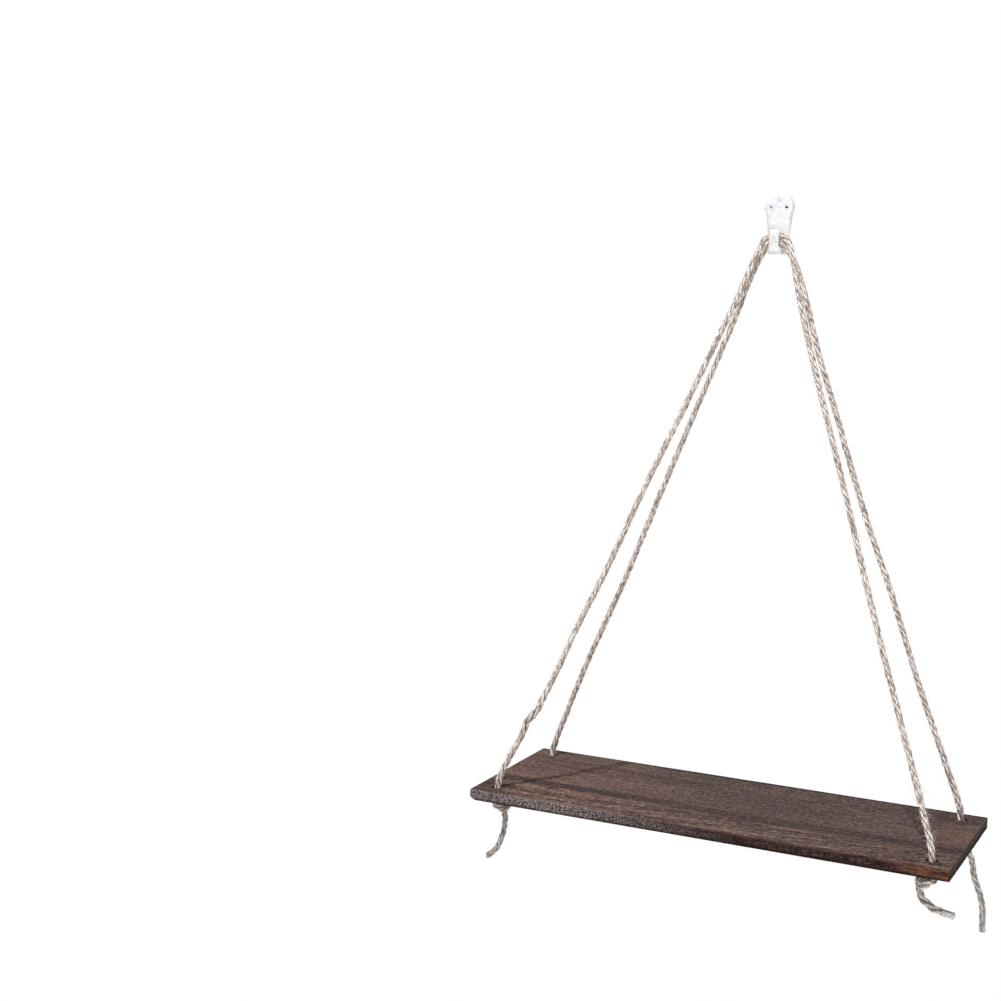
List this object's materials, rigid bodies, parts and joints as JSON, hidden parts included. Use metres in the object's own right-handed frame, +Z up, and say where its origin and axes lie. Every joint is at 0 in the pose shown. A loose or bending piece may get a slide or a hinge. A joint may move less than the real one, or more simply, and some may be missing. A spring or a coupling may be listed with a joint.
{
  "type": "hanging rope shelf",
  "caption": "Slim stained wooden shelf hung on knotted twisted jute ropes from a white plastic wall hook.",
  "frame": {"origin": "the middle of the hook's round head, on its back face, which lies on the wall", "axes": "+Y into the wall, +Z up, +X to the right as seen by someone who faces the shelf"},
  "size_m": [0.4447, 0.169, 0.6381],
  "materials": {
    "stained_wood": "dark brown stain, satin, worn paler at its arrises",
    "jute_rope": "twisted jute of three strands, with loose fibres",
    "white_plastic": "gloss",
    "nail_steel": "bright wire",
    "clear_tape": "clear sticky tape wound on the rope end"
  },
  "bodies": {
    "wall_hook": {"wall_hook": "white_plastic", "hook_nail_top": "nail_steel", "hook_nail_right": "nail_steel", "hook_nail_bottom": "nail_steel", "hook_nail_left": "nail_steel"},
    "back_rope_loop": {"back_rope_bend": "jute_rope"},
    "front_rope_loop": {"front_rope_bend": "jute_rope"},
    "hanging_shelf": {"shelf_board": "stained_wood", "front_rope_left_leg": "jute_rope", "front_rope_right_leg": "jute_rope", "back_rope_left_leg": "jute_rope", "back_rope_right_leg": "jute_rope", "front_left_tail": "jute_rope", "front_right_tail": "jute_rope", "back_left_tail": "jute_rope", "back_right_tail": "jute_rope", "front_right_taped_end": "clear_tape", "back_right_taped_end": "clear_tape", "front_left_knot": "jute_rope", "front_right_knot": "jute_rope", "back_left_knot": "jute_rope", "back_right_knot": "jute_rope"}
  },
  "joints": [
    {"name": "lift_off", "type": "slide", "parent": "wall_hook", "child": "back_rope_loop", "axis": [0, 0, 1], "range_m": [0, 0.025]},
    {"name": "swing_side", "type": "hinge", "parent": "back_rope_loop", "child": "front_rope_loop", "pos_m": [0, -0.0098, -0.0385], "axis": [0, 1, 0], "range_deg": [-10, 10]},
    {"name": "swing_out", "type": "hinge", "parent": "front_rope_loop", "child": "hanging_shelf", "pos_m": [0, -0.0098, -0.0337], "axis": [-1, 0, 0], "range_deg": [0, 15]}
  ]
}
